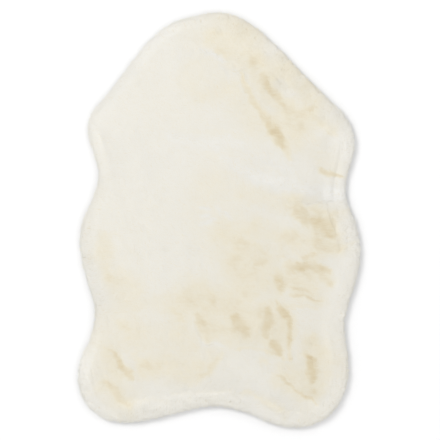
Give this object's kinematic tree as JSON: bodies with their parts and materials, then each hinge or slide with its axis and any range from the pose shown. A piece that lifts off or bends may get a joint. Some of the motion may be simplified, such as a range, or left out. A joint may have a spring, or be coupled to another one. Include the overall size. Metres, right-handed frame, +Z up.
{
  "type": "shag rug",
  "caption": "Small cream shag rug cut to the outline of a sheepskin: a lumpy slab of dense plush pile with locks standing out at its rim, lying flat.",
  "frame": {"origin": "on the floor, under the middle of the rug's bounding box", "axes": "+Y along the length, towards the crown (the single rounded end); +X across, to the right with the crown away from the viewer; +Z up, out of the pile"},
  "size_m": [0.616, 0.9022, 0.0283],
  "materials": {
    "pile": "dense soft plush pile, cream, combed into matt and bright patches with tan roots showing in the partings"
  },
  "bodies": {
    "root": {"rug": "pile"}
  },
  "joints": []
}
